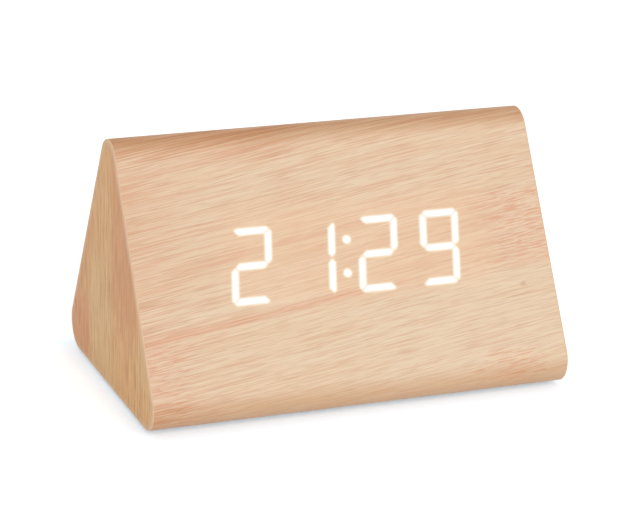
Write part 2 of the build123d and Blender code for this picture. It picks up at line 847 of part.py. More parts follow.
def battery_contacts():
    """The contacts that join the cells in series: two single ones with tags and three across two cells."""
    last = cell_count - 1
    plates = [contact_plate(-1, row, row) + contact_tag(row) for row in (0, last)]
    plates += [contact_plate(1, row, row + 1) for row in range(0, last, 2)]
    plates += [contact_plate(-1, row, row + 1) for row in range(1, last, 2)]
    return Compound([plate.solid() for plate in plates])


def two_arcs(start, start_way, end, end_way):
    """Two tangent arcs that leave the first point one way and arrive at the second another way."""
    chord = end - start
    ways = start_way + end_way
    spread = 2 * (1 - start_way.dot(end_way))
    along = chord.dot(ways)
    reach = (sqrt(along ** 2 + spread * chord.dot(chord)) - along) / spread
    joint = (start + end + (start_way - end_way) * reach) / 2
    joint_way = end - start - ways * reach
    return [TangentArc(start, joint, tangent=start_way), TangentArc(joint, end, tangent=joint_way)]


def spring_path():
    """The wire's line along Z: straight off the plate, round the narrowing turns and straight on."""
    low = spring_wire + spring_end_bend
    high = spring_height - low
    steps = 4 * spring_turns
    narrowing = (spring_tip_radius - spring_base_radius) / (2 * pi * spring_turns)
    climb = (high - low) / (2 * pi * spring_turns)
    places, ways = [], []
    for step in range(steps + 1):
        turn = step * pi / 2
        radius = spring_base_radius + narrowing * turn
        outward = Vector(cos(turn), sin(turn), 0)
        onward = Vector(-sin(turn), cos(turn), 0)
        places.append(outward * radius + Vector(0, 0, low + climb * turn))
        ways.append((outward * narrowing + onward * radius + Vector(0, 0, climb)).normalized())
    up = Vector(0, 0, 1)
    foot = Vector(spring_base_radius, -spring_end_bend, 0)
    tip = Vector(spring_tip_radius, spring_end_bend, spring_height)
    foot_top = foot + up * spring_wire
    tip_foot = tip - up * spring_wire
    pieces = [Line(foot, foot_top)] + two_arcs(foot_top, up, places[0], ways[0])
    for i in range(steps):
        pieces += two_arcs(places[i], ways[i], places[i + 1], ways[i + 1])
    pieces += two_arcs(places[-1], ways[-1], tip_foot, up) + [Line(tip_foot, tip)]
    return Wire([piece.edge() for piece in pieces])


def print_least_gap(path, wire):
    """Measure how near the wire comes to itself, on points along its line."""
    count = round(path.length / wire) * 2
    points = [path @ (i / count) for i in range(count + 1)]
    near = 8
    gaps = [(a - b).length - wire for i, a in enumerate(points) for b in points[i + near:]]
    print("battery spring least gap to itself", round(min(gaps), 2))


def battery_springs():
    """The four conical springs, soldered where each cell's flat end comes."""
    path = spring_path()
    print_least_gap(path, spring_wire)
    section = Plane(path @ 0) * RegularPolygon(spring_wire / 2, wire_sides)
    spring = sweep(section, path=path)
    seats = [end_plane(-nub_side(row), row, contact_thickness) for row in range(cell_count)]
    return Compound([(seat * spring).solid() for seat in seats])


def tag_top(row):
    """Where a lead is soldered to its tag."""
    return Vector(-tray_end - tag_reach / 2, cell_rows[row], cell_middle + contact_reach)


def lead_plug():
    """The two-pole plug on the back of the key board that the battery leads go up into."""
    outline = Pos(lead_plug_shift, lead_plug_rise) * Rectangle(lead_plug_width, lead_plug_depth)
    return slab(rear, outline, key_board_back - lead_plug_height, key_board_back)


def plug_entry(pole):
    """Where a lead goes into the plug, and the place that it comes straight from."""
    u = lead_plug_shift + pole * lead_spacing / 2
    v = lead_plug_rise - lead_plug_depth / 2
    w = key_board_back - lead_plug_height / 2
    return place_on(rear, u, v, w), place_on(rear, u, v - lead_end_run, w)


def red_lead():
    """The lead from the positive tag, straight up beside the plug."""
    tag = tag_top(cell_count - 1)
    entry, approach = plug_entry(-1)
    route = [tag, tag + Vector(0, 0, lead_start_run - lead_diameter / 2), approach, entry]
    return tube_along("red lead", route, Circle(lead_diameter / 2))


def black_lead():
    """The lead from the negative tag, round past the end of the tray to the plug."""
    tag = tag_top(0)
    entry, approach = plug_entry(1)
    bow = [Vector(-tray_end - out * side, across * side, tray_top + up * side)
           for out, across, up in lead_bow]
    route = [tag, tag + Vector(0, 0, lead_start_run)] + bow + [approach, entry]
    return tube_along("black lead", route, Circle(lead_diameter / 2))


def build():
    """Every sub-part by name."""
    left_panel, right_panel = end_panels()
    left_film, right_film = end_films()
    parts = {
        "mdf_sleeve": mdf_sleeve(),
        "left_end_panel": left_panel,
        "right_end_panel": right_panel,
        "wrap_film": wrap_film(),
        "left_end_film": left_film,
        "right_end_film": right_film,
        "lit_segments": lit_segments(),
        "segment_block": segment_block(),
        "segment_lenses": segment_lenses(),
        "led_chips": led_chips(),
        "display_board": display_board(),
        "display_screws": display_screws(),
        "driver_chip": driver_chip(),
        "clock_crystal": clock_crystal(),
        "display_header": display_header(),
        "key_board": key_board(),
        "key_spacers": key_spacers(),
        "key_screws": key_screws(),
        "key_header": key_header(),
        "ribbon_cable": ribbon_cable(),
        "buzzer": buzzer(),
        "power_socket": power_socket(),
        "socket_pin": socket_pin(),
        "base_plate": base_plate(),
        "base_screws": base_screws(),
        "rubber_feet": rubber_feet(),
        "battery_door": battery_door(),
        "door_latch": door_latch(),
        "battery_contacts": battery_contacts(),
        "battery_springs": battery_springs(),
        "lead_plug": lead_plug(),
        "red_lead": red_lead(),
        "black_lead": black_lead(),
    }
    for name, u in zip(("set", "up", "down"), button_places()):
        parts[f"{name}_button"] = push_button(u)
        parts[f"{name}_plunger"] = switch_plunger(u)
        parts[f"{name}_switch"] = key_switch(u)
    for row in range(cell_count):
        parts[f"cell_{row + 1}"] = cell(row)
    return parts


if __name__ == "__main__":
    os.makedirs("parts", exist_ok=True)
    for name, shape in build().items():
        export_step(shape, f"parts/{name}.step")
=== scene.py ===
import bmesh
import bpy
import numpy as np
from math import cos, pi, radians, sin, sqrt
from mathutils import Matrix, Vector
from mathutils.geometry import delaunay_2d_cdt


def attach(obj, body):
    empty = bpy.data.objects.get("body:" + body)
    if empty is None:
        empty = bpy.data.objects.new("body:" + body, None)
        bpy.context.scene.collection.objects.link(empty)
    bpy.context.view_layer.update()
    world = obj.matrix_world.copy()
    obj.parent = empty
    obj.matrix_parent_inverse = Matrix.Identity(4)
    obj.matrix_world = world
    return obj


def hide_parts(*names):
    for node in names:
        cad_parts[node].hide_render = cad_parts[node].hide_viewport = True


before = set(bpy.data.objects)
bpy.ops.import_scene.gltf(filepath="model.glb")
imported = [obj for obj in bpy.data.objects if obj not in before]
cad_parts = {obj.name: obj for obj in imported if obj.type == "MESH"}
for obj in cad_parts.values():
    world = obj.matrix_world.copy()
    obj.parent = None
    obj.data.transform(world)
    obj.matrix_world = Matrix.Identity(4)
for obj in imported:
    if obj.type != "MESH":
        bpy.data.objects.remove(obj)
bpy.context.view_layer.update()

# The camera stands where the photograph was taken from: in front of the clock, a little to its left and
# above it, with a long lens and turned by one degree. Its place was fitted to the outline of the clock in
# the photograph.
view_azimuth = radians(-21.159)
view_elevation = radians(18.126)
view_roll = radians(1.030)
view_distance = 0.70053
view_shift = (-0.0016264, -0.0302437)
view_lift = 0.001
lens_length = 139.09
sensor_width = 36.0
near_clip = 0.01

back = Vector((sin(view_azimuth) * cos(view_elevation), -cos(view_azimuth) * cos(view_elevation),
               sin(view_elevation)))
level = Vector((0, 0, 1)).cross(back).normalized()
upright = back.cross(level)
camera_right = level * cos(view_roll) + upright * sin(view_roll)
camera_up = upright * cos(view_roll) - level * sin(view_roll)
camera_place = (back * view_distance - camera_right * view_shift[0] - camera_up * view_shift[1]
                + Vector((0, 0, view_lift)))
camera = bpy.data.objects.new("camera", bpy.data.cameras.new("camera"))
camera.data.lens = lens_length
camera.data.sensor_width = sensor_width
camera.data.clip_start = near_clip
camera.matrix_world = Matrix((camera_right, camera_up, back)).transposed().to_4x4()
camera.location = camera_place
bpy.context.scene.collection.objects.link(camera)
bpy.context.scene.camera = camera
bpy.context.scene.view_settings.view_transform = "Standard"

# The wood-print wrap is one sheet of printed film, 0.4 mm thick, glued round the three sides of the tube.
# Its print runs round the rounded corners. The lit bars are patches of the same film, and their light
# spreads a little in it.
mm = 0.001
side = 89.4 * mm
corner = 7.0 * mm
foot_height = 1.0 * mm
film_thickness = 0.4 * mm
light_spread = 0.26 * mm
light_falloff = 1.15
light_cell = 0.07 * mm
light_reach = 0.85 * mm
lattice_pitch = 0.15 * mm
points_at_a_time = 500
skin_cosine = 0.9
map_scale = 10

straight = side - 2 * sqrt(3) * corner
arc = corner * 2 * pi / 3
core = np.array([(-straight / 2, foot_height + corner), (0, foot_height + corner + straight * sqrt(3) / 2),
                 (straight / 2, foot_height + corner)])
front_out = np.array([0, -sqrt(3) / 2, 0.5])
front_up = np.array([0, 0.5, sqrt(3) / 2])
front_foot = np.array([0, *core[0]]) + front_out * corner


def line_place(points):
    """How far along the rounded triangle's outline each (y, z) point lies, from the foot of the front's
    flat part, and the way outwards there. It is the nearest place on the triangle that joins the corners'
    centres: a share of a straight side, or past a side's end the angle turned about that centre times the
    corner's radius."""
    best = np.full(len(points), np.inf)
    place = np.zeros(len(points))
    outwards = np.zeros((len(points), 3))
    for i in range(3):
        start, end = core[i], core[(i + 1) % 3]
        way = (end - start) / straight
        out = np.array([-way[1], way[0]])
        reach = np.clip((points - start) @ way, 0, straight)
        gap = points - start - reach[:, None] * way
        turned = np.arctan2(gap @ way, gap @ out)
        far = np.linalg.norm(gap, axis=1)
        here = i * (straight + arc) + reach + corner * turned
        nearer = far < best - 1e-9
        best = np.where(nearer, far, best)
        place = np.where(nearer, here, place)
        outwards[nearer, 1:] = (gap / far[:, None])[nearer]
    return place, outwards


def edge_reach(points, starts, ends):
    """The distance from each point to the nearest of the line pieces, at the piece's nearest share."""
    ways = ends - starts
    lengths = (ways ** 2).sum(1)
    found = []
    for some in np.array_split(points, 1 + len(points) // points_at_a_time):
        gaps = some[:, None] - starts
        share = np.clip((gaps * ways).sum(2) / lengths, 0, 1)
        found.append(np.sqrt(((gaps - share[..., None] * ways) ** 2).sum(2)).min(1))
    return np.concatenate(found)


def inside(points, starts, ends):
    """Whether the line pieces close round each point: a level line from it crosses an odd number of
    them."""
    rise = np.where(ends[:, 1] == starts[:, 1], 1.0, ends[:, 1] - starts[:, 1])
    slope = (ends[:, 0] - starts[:, 0]) / rise
    found = []
    for some in np.array_split(points, 1 + len(points) // points_at_a_time):
        u, v = some[:, :1], some[:, 1:]
        spans = (starts[:, 1] > v) != (ends[:, 1] > v)
        crossing = starts[:, 0] + (v - starts[:, 1]) * slope
        found.append((spans & (crossing > u)).sum(1) % 2 == 1)
    return np.concatenate(found)


def on_front(place):
    """A point's place along the clock and up the slope of its front, from the slope's foot."""
    return np.stack([place[:, 0], (place - front_foot) @ front_up], 1)


def front_faces(form):
    """The faces that lie on the clock's front, and the edges round them."""
    faces = [face for face in form.faces if face.normal.dot(Vector(front_out)) > 0.9999
             and abs((np.array(face.calc_center_median()) - front_foot) @ front_out) < 1e-6]
    chosen = set(faces)
    borders = [edge for face in faces for edge in face.edges
               if sum(other in chosen for other in edge.link_faces) == 1]
    return faces, borders


def edge_ends(edges):
    """The two ends of each edge, on the front."""
    return [on_front(np.array([edge.verts[k].co for edge in edges])) for k in (0, 1)]


def cad_form(node):
    """An editable copy of a CAD node's mesh, with its doubles merged."""
    form = bmesh.new()
    form.from_mesh(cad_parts[node].data)
    bmesh.ops.remove_doubles(form, verts=form.verts, dist=1e-6)
    return form


lit_form = cad_form("lit_segments")
lit_starts, lit_ends = edge_ends(front_faces(lit_form)[1])
light_low = lit_starts.min(0) - light_reach
light_high = lit_starts.max(0) + light_reach
light_places = np.stack(np.meshgrid(*(np.arange(light_low[k], light_high[k], light_cell) for k in (0, 1)),
                                    indexing="ij"), 2)
light = inside(light_places.reshape(-1, 2), lit_starts, lit_ends)
light = light.reshape(light_places.shape[:2]).astype(float)
spread_cells = round(3 * light_spread / light_cell)
reach = np.arange(-spread_cells, spread_cells + 1) * light_cell
spread = np.exp(-(reach / light_spread) ** 2 / 2)
spread /= spread.sum()
for axis in (0, 1):
    light = np.apply_along_axis(np.convolve, axis, light, spread, mode="same")
light **= light_falloff


def light_at(points):
    """The light at each point of the front: 1 in a bar's middle and 0 far from it. The bars' shape is
    drawn on a fine grid, spread by a bell curve, exp(-r^2 / 2s^2), and raised to a power, which dims its
    edges. A point takes its share of the four cells round it."""
    place = (points - light_low) / light_cell
    cell = np.clip(np.floor(place).astype(int), 0, np.array(light.shape) - 2)
    u, v = np.clip(place - cell, 0, 1).T
    i, j = cell.T
    lower = light[i, j] * (1 - u) + light[i + 1, j] * u
    upper = light[i, j + 1] * (1 - u) + light[i + 1, j + 1] * u
    return lower * (1 - v) + upper * v


def printed_mesh(name, form):
    """The form's mesh with its front cut into fine triangles beside the lit edges. It keeps the CAD
    outline. It carries the print's map, the place along the clock and the length round it, and the light
    at each point. Both sides of the film are shaded along the way outwards, and its cut edges flat."""
    borders = front_faces(form)[1]
    starts, ends = edge_ends(borders)
    near = edge_reach((starts + ends) / 2, lit_starts, lit_ends) < lattice_pitch
    for edge in [edge for edge, at_light in zip(borders, near) if at_light]:
        pieces = int(edge.calc_length() / lattice_pitch)
        if pieces > 1:
            bmesh.ops.bisect_edges(form, edges=[edge], cuts=pieces - 1)
    faces, borders = front_faces(form)
    starts, ends = edge_ends(borders)
    corners = list({vert: None for edge in borders for vert in edge.verts})
    index = {vert: i for i, vert in enumerate(corners)}
    pairs = [tuple(index[vert] for vert in edge.verts) for edge in borders]
    spans = [np.arange(light_low[k], light_high[k], lattice_pitch) for k in (0, 1)]
    lattice = np.stack(np.meshgrid(*spans), 2).reshape(-1, 2)
    lit_reach = edge_reach(lattice, lit_starts, lit_ends)
    lattice = lattice[(lit_reach > lattice_pitch / 3) & (lit_reach < light_reach)]
    lattice = lattice[inside(lattice, starts, ends)]
    outline = on_front(np.array([vert.co for vert in corners]))
    places, _, triangles, origins, _, _ = delaunay_2d_cdt(
        [Vector(p) for p in np.concatenate([outline, lattice])], pairs, [], 0, 1e-9)
    places, triangles = np.array(places), np.array(triangles)
    triangles = triangles[inside(places[triangles].mean(1), starts, ends)]
    bmesh.ops.delete(form, geom=faces, context="FACES_ONLY")
    verts = [corners[origin[0]] if origin and origin[0] < len(corners)
             else form.verts.new(front_foot + np.array([u, 0, 0]) + front_up * v)
             for origin, (u, v) in zip(origins, places)]
    for triangle in triangles:
        form.faces.new([verts[i] for i in triangle])
    bmesh.ops.delete(form, geom=[vert for vert in form.verts if not vert.link_faces], context="VERTS")
    bmesh.ops.triangulate(form, faces=[face for face in form.faces if len(face.verts) > 3])
    bmesh.ops.recalc_face_normals(form, faces=form.faces)
    mesh = bpy.data.meshes.new(name)
    form.to_mesh(mesh)
    form.free()
    points = np.zeros(len(mesh.vertices) * 3)
    mesh.vertices.foreach_get("co", points)
    points = points.reshape(-1, 3)
    loops = np.zeros(len(mesh.loops), int)
    mesh.loops.foreach_get("vertex_index", loops)
    around = 3 * (straight + arc)
    places, outwards = line_place(points[:, 1:])
    lines = places[loops].reshape(-1, 3)
    middles = line_place(points[loops].reshape(-1, 3, 3).mean(1)[:, 1:])[0]
    lines += around * np.round((middles[:, None] - lines) / around)
    print_map = mesh.uv_layers.new(name="print")
    print_map.data.foreach_set("uv", np.stack([points[loops, 0], lines.ravel()], 1).ravel() * map_scale)
    mesh.attributes.new("light", "FLOAT", "POINT").data.foreach_set("value", light_at(on_front(points)))
    flat = np.zeros(len(mesh.polygons) * 3)
    mesh.polygons.foreach_get("normal", flat)
    flat = np.repeat(flat.reshape(-1, 3), 3, axis=0)
    along_film = (flat * outwards[loops]).sum(1, keepdims=True)
    mesh.shade_smooth()
    on_skin = np.abs(along_film) > skin_cosine
    mesh.normals_split_custom_set(np.where(on_skin, outwards[loops] * np.sign(along_film), flat))
    return mesh


def shown(name, mesh, finish, node, body="clock"):
    """The mesh as a piece of the clock that stands for a CAD node."""
    mesh.materials.append(finish)
    piece = bpy.data.objects.new(name, mesh)
    bpy.context.scene.collection.objects.link(piece)
    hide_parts(node)
    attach(piece, body)
    return piece


class Wire:
    """One output of a shader node. Arithmetic on wires adds Math nodes to their material."""

    def __init__(self, tree, socket=None):
        self.tree = tree
        self.socket = socket

    def node(self, kind, settings=None, inputs=None, output=0):
        """Adds any node: its settings are set first, and then its sockets get their values or wires."""
        made = self.tree.nodes.new(kind)
        for name, value in (settings or {}).items():
            setattr(made, name, value)
        for name, value in (inputs or {}).items():
            if isinstance(value, Wire):
                self.tree.links.new(value.socket, made.inputs[name])
            else:
                made.inputs[name].default_value = value
        return Wire(self.tree, made.outputs[output])

    def __add__(self, other):
        return self.node("ShaderNodeMath", {"operation": "ADD"}, {0: self, 1: other})

    def __sub__(self, other):
        return self.node("ShaderNodeMath", {"operation": "SUBTRACT"}, {0: self, 1: other})

    def __rsub__(self, other):
        return self.node("ShaderNodeMath", {"operation": "SUBTRACT"}, {0: other, 1: self})

    def __mul__(self, other):
        return self.node("ShaderNodeMath", {"operation": "MULTIPLY"}, {0: self, 1: other})

    def __truediv__(self, other):
        return self.node("ShaderNodeMath", {"operation": "DIVIDE"}, {0: self, 1: other})

    __radd__ = __add__
    __rmul__ = __mul__


def most(first, *others):
    """The largest of several values."""
    for other in others:
        first = first.node("ShaderNodeMath", {"operation": "MAXIMUM"}, {0: first, 1: other})
    return first


def paint(red, green, blue):
    """A colour as it looks on a screen, 0 to 255, as the linear colour that a shader takes."""
    parts = np.array([red, green, blue]) / 255
    linear = np.where(parts <= 0.04045, parts / 12.92, ((parts + 0.055) / 1.055) ** 2.4)
    return (*linear, 1.0)


def step(value, low, high):
    """0 below low, 1 above high and a smooth rise between them."""
    return value.node("ShaderNodeMapRange", {"interpolation_type": "SMOOTHSTEP"},
                      {"Value": value, "From Min": low, "From Max": high})


def within(value, low, high, soft):
    """1 between low and high, with a smooth fall over the soft length at both ends."""
    return step(value, low - soft, low + soft) * (1 - step(value, high - soft, high + soft))


def tint(share, under, over):
    """One colour over another, by a share from 0 to 1."""
    return share.node("ShaderNodeMix", {"data_type": "RGBA"}, {0: share, 6: under, 7: over}, output=2)


def grain(along, across, length, width, detail=2.0, roughness=0.5):
    """Noise drawn out one way: its marks are about that length and width in millimetres."""
    place = along.node("ShaderNodeCombineXYZ", None, {"X": along * (1 / length), "Y": across * (1 / width)})
    return along.node("ShaderNodeTexNoise", {"noise_dimensions": "2D"},
                      {"Vector": place, "Scale": 1.0, "Detail": detail, "Roughness": roughness})


def split(start, spot, scale):
    """The three parts of a place, each times the scale."""
    return [start.node("ShaderNodeSeparateXYZ", None, {"Vector": spot}, output=k) * scale for k in range(3)]


def new_finish(name):
    """An empty material, the wire that starts its nodes, and its Principled shader."""
    material = bpy.data.materials.new(name)
    material.use_nodes = True
    shader = material.node_tree.nodes["Principled BSDF"]
    return material, Wire(material.node_tree), shader


def join(wire, shader, socket):
    """Joins a wire to one of the shader's sockets."""
    wire.tree.links.new(wire.socket, shader.inputs[socket])


def relief(height, strength, depth):
    """A Bump node's normal, from a height of 0 to 1 that stands for the depth in metres."""
    return height.node("ShaderNodeBump", None, {"Height": height, "Strength": strength, "Distance": depth})


cream_ground = paint(240, 213, 180)
tan_ground = paint(238, 205, 167)
warm_ground = paint(236, 190, 154)
salmon_band = paint(232, 176, 142)
pale_streak = paint(247, 224, 194)
brown_streak = paint(216, 148, 110)
brown_vein = paint(204, 138, 102)
brown_fibre = paint(210, 148, 112)


def print_colour(along, across, warmth):
    """The printed wood: a cream ground, wide soft bands, pale and red-brown streaks, thin veins where
    noise crosses one level, and short fibres. Warmth, from 0 to 1, says how salmon the place is. Returns
    the colour and how strong its marks are."""
    wide = step(grain(along, across, 60, 6, detail=1), 0.40, 0.62)
    band = step(grain(along + 300, across, 50, 1.5, detail=2, roughness=0.6), 0.47, 0.62)
    line = step(grain(along + 700, across, 26, 0.42, detail=1) + warmth * 0.04, 0.55, 0.62)
    vein = within(grain(along + 1500, across, 50, 1.5, detail=2), 0.484, 0.494, 0.012)
    fibre = step(grain(along + 900, across, 9, 0.32, detail=1), 0.52, 0.66)
    light_line = step(grain(along + 500, across, 26, 0.46, detail=1), 0.50, 0.64)
    colour = tint(wide * 0.45, cream_ground, tan_ground)
    colour = tint(warmth * 0.30, colour, warm_ground)
    colour = tint(band * (warmth * 0.46 + 0.08), colour, salmon_band)
    colour = tint(light_line * 0.20, colour, pale_streak)
    colour = tint(line * (warmth * 0.24 + 0.22), colour, brown_streak)
    colour = tint(vein * (warmth * 0.45 + 0.25), colour, brown_vein)
    colour = tint(fibre * 0.26, colour, brown_fibre)
    return colour, most(line, vein) + fibre * 0.6


# The print is laid out on the film in millimetres: x runs along the clock, and t runs round it, up the
# front from where its lower edge would be if it were sharp.
flat_foot = 12.12
front_middle = 45
streak_slope = 0.144
streak_bend = 0.0001
streak_fan = 0.0004
streak_sway = 1.4
band_slope = 0.135
patch_ground = paint(247, 214, 184)
patch_streak = paint(226, 156, 118)
side_shade_paint = paint(228, 170, 124)
digit_glow_paint = paint(248, 207, 168)
bright_salmon = paint(230, 164, 128)
top_streak = paint(212, 152, 108)
foot_shade_paint = paint(216, 160, 108)
foot_streak = paint(204, 130, 80)
ridge_shade_paint = paint(204, 142, 82)
ridge_streak_and_shade = paint(182, 112, 62)
speck_brown = paint(204, 148, 114)
film_over_lamp = paint(148, 148, 148)
print_relief = 0.25
print_depth = 0.00005
lamp_white = (0.72, 0.72, 0.72, 1.0)
lamp_edge = (0.86, 0.74, 0.42, 1.0)
black = paint(0, 0, 0)
wood_print, start, shader = new_finish("wood_print")
x, t, _ = split(start, start.node("ShaderNodeUVMap", {"uv_map": "print"}), 1000 / map_scale)
t = t + flat_foot
sway = grain(x, t, 90, 40, detail=1) - 0.5
across = (t - x * streak_slope + x * x * streak_bend - x * (t - front_middle) * streak_fan
          + sway * streak_sway)
jag = grain(x, across, 9, 1.1, detail=2) - 0.5
on_top_left = step(t, 70, 77) * (1 - step(x, -25, 5)) * (1 - step(t, 90, 97))
through_digits = within(t - x * 0.02, 37, 57, 4) * (step(x, -75, 30) * 0.5 + 0.5)
strong_band = within(t - x * band_slope, 33.6, 35.6, 0.8) * (1 - step(x, -6, 30))
upper_band = within(t - x * band_slope, 51.7, 53.3, 0.7) * within(x, -40, 14, 14)
right_patch = within(t, 38, 59, 1.5) * step(x + jag * 26, 43.5, 46.5)
lower_left_patch = within(t, 4, 26, 3) * (1 - step(x + jag * 30, -54, -50))
lower_right_patch = within(t, 4, 14.5, 1.5) * within(x + jag * 24, 37, 51, 1.5)
upper_left_patch = within(t + jag * 5, 46, 64, 2) * (1 - step(x + jag * 20, -58, -55))
out_of_view = 1 - within(t, 0, 85, 5)
elsewhere = step(grain(x + 40, across, 90, 14, detail=1), 0.45, 0.6) * out_of_view
left_side = 1 - step(x, -62, -25)
warmth = most(through_digits * 0.55, on_top_left, elsewhere * 0.7, strong_band, upper_left_patch * 0.6,
              left_side * 0.75, step(t, 42, 52) * 0.3)
colour, marks = print_colour(x, across, warmth)
patches = most(right_patch, lower_left_patch, lower_right_patch)
patch_lines = step(grain(x, across, 6, 0.40, detail=2), 0.48, 0.60) * patches
digit_glow_area = within(t, 33, 60, 4) * within(x, -34, 42, 6)
upper_left_shade_area = left_side * within(t, 38, 74, 6)
top_lines = step(grain(x + 60, across, 40, 0.45, detail=2, roughness=0.6), 0.47, 0.60) * on_top_left
low_lines = step(grain(x + 90, across, 14, 0.4, detail=2), 0.50, 0.58) * within(t, 0, 10, 2)
ridge_lines = step(grain(x, across, 50, 0.5, detail=3, roughness=0.6), 0.46, 0.58) * within(t, 80, 93, 3)
speck = within(x + jag * 3, 49.6, 51.2, 0.5) * within(t, 31.4, 32.6, 0.5)
colour = tint(patches * 0.30, colour, patch_ground)
colour = tint(patch_lines * 0.60, colour, patch_streak)
# Painted shade: the upper left of the front is darkened a little toward tan, on the side farther from the
# light.
colour = tint(upper_left_shade_area * 0.16, colour, side_shade_paint)
# Painted light: a paler, warmer glow round the digits, as if their light lit the film about them.
colour = tint(digit_glow_area * 0.40, colour, digit_glow_paint)
colour = tint(most(strong_band, upper_band) * (jag + 0.9) * 0.38, colour, bright_salmon)
colour = tint(top_lines * 0.36, colour, top_streak)
# Painted shade: the bottom rounding is darkened to tan, standing for the shade where it turns under.
colour = tint(within(t, 0.5, 9, 3) * 0.42, colour, foot_shade_paint)
colour = tint(low_lines * (left_side * 0.4 + 0.15), colour, foot_streak)
# Painted shade: the top rounding is darkened to a deeper tan, standing for the shade where it turns away
# from the light.
colour = tint(within(t, 79, 94, 4) * 0.55, colour, ridge_shade_paint)
# Dark streaks on the top rounding: partly print streaks, partly painted shade that deepens the rounding
# further.
colour = tint(ridge_lines * 0.6, colour, ridge_streak_and_shade)
colour = tint(speck * 0.4, colour, speck_brown)
lit = start.node("ShaderNodeAttribute", {"attribute_name": "light"}, output=2)
join(tint(lit, colour, film_over_lamp), shader, "Base Color")
join(tint(lit, black, tint(lit, lamp_edge, lamp_white)), shader, "Emission Color")
join(marks * 0.08 + 0.46, shader, "Roughness")
join(relief(marks, print_relief, print_depth), shader, "Normal")
shader.inputs["Emission Strength"].default_value = 1.0
shown("wood_print_wrap", printed_mesh("wood_print_wrap", cad_form("wrap_film")), wood_print, "wrap_film")

# The lit bars and dots of 21:29 are patches of the film with an LED's light behind them, a warm white
# that hides the print. Each fills its own opening in the wrap.
shown("lit_digits", printed_mesh("lit_digits", lit_form), wood_print, "lit_segments")

# Each end of the clock is covered by its own piece of the same film, with the grain upright. It is cut to
# the rounded triangle and pressed over the edge, where a paler band is painted on as a highlight along the
# edge.
half_length = 60 * mm
edge_radius = 0.25 * mm
edge_steps = 6
arc_steps = 24
sharp_angle = radians(35)


def ring_faces(rows, count):
    """Quads between rows of points, each row a closed ring."""
    row, column = np.meshgrid(np.arange(rows - 1), np.arange(count), indexing="ij")
    after = (column + 1) % count
    return np.stack([row * count + column, row * count + after, (row + 1) * count + after,
                     (row + 1) * count + column], 2).reshape(-1, 4)


def closed_mesh(name, points, faces, marks=None):
    """A mesh from points and faces, its doubles merged, its faces outward, smooth but for sharp edges."""
    mesh = bpy.data.meshes.new(name)
    mesh.from_pydata(points.tolist(), [], faces)
    for mark, values in (marks or {}).items():
        mesh.attributes.new(mark, "FLOAT", "POINT").data.foreach_set("value", values)
    form = bmesh.new()
    form.from_mesh(mesh)
    bmesh.ops.remove_doubles(form, verts=form.verts, dist=1e-7)
    bmesh.ops.dissolve_degenerate(form, edges=form.edges, dist=1e-8)
    bmesh.ops.recalc_face_normals(form, faces=form.faces)
    form.to_mesh(mesh)
    form.free()
    mesh.shade_smooth()
    mesh.set_sharp_from_angle(angle=sharp_angle)
    return mesh


def end_skin(name, direction):
    """Rows of (inset from the outline, place along X, share of painted highlight) carried round the rounded
    triangle:
    each point is a corner's centre plus the radius less the inset along the outward way.
    at the middle."""
    turn = np.linspace(0, pi / 2, edge_steps)
    rows = [(0, half_length - film_thickness, 0.8)]
    rows += list(zip(edge_radius * (1 - np.cos(turn)), half_length - edge_radius * (1 - np.sin(turn)),
                     np.ones(edge_steps)))
    rows += [(0.9 * mm, half_length, 0.4), (2.2 * mm, half_length, 0)]
    angles = np.radians(-90 - np.linspace(0, 120, arc_steps)[None, :] - 120 * np.arange(3)[:, None])
    ways = np.stack([np.cos(angles), np.sin(angles)], 2)
    rings = np.array([(core[:, None] + ways * (corner - inset)).reshape(-1, 2) for inset, _, _ in rows])
    count = rings.shape[1]
    middle = np.broadcast_to(core.mean(0), (1, count, 2))
    rings = np.concatenate([middle, rings, middle])
    along = np.array([rows[0][1], *(row[1] for row in rows), half_length]) * direction
    highlighted = np.array([0, *(row[2] for row in rows), 0])
    points = np.concatenate([np.broadcast_to(along[:, None, None], (*rings.shape[:2], 1)), rings], 2)
    faces = ring_faces(len(rings), count).tolist()
    return closed_mesh(name, points.reshape(-1, 3), faces, {"edge_highlight": np.repeat(highlighted, count)})


def object_places(start):
    """X, Y and Z of the place on the object, in millimetres."""
    return split(start, start.node("ShaderNodeTexCoord", output=3), 1000)


other_sheet = 57
yellow_ground = paint(238, 182, 109)
straw_ground = paint(243, 195, 123)
orange_band = paint(232, 166, 98)
rust_patch = paint(230, 152, 88)
straw_band = paint(238, 197, 133)
upright_streak = paint(204, 136, 80)
dark_streak = paint(184, 112, 62)
edge_highlight_paint = paint(238, 204, 168)
end_print, start, shader = new_finish("end_print")
x, y, z = object_places(start)
drift = grain(z, y, 60, 30, detail=1) - 0.5
across = y + drift * 4 + step(x, -1, 1) * other_sheet
wide = step(grain(z, across, 120, 6, detail=1), 0.40, 0.60)
band = step(grain(z + 200, across, 70, 2.2), 0.45, 0.62)
line = step(grain(z + 400, across, 15, 0.7, detail=3, roughness=0.6), 0.53, 0.64)
fibre = step(grain(z + 600, across, 8, 0.35, detail=3, roughness=0.7), 0.50, 0.64)
vein = within(grain(z + 800, across, 60, 1.8, detail=2), 0.484, 0.494, 0.010)
jag = grain(z, across, 6, 1.3) - 0.5
rear_patch = step(y + jag * 5, 18.5, 22.5) * (1 - step(z + jag * 16, 17, 24))
rear_strip = step(y + z * 0.62 + jag * 6, 37, 44) * (1 - step(z, 40, 50))
brown_band = within(y + jag * 5, -26, -3, 2) * step(z + jag * 34, 18, 26)
broad_band = within(y + jag * 2, -2, 19, 2.5) * (1 - step(z, 28, 40))
pale_strip = within(y, -32, -26, 1) * within(z, 10, 26, 4)
front_lines = within(y, -34, -16, 2) * (1 - step(z + jag * 10, 10, 22)) * line
edge_highlight = start.node("ShaderNodeAttribute", {"attribute_name": "edge_highlight"}, output=2)
colour = tint(wide * 0.6, yellow_ground, straw_ground)
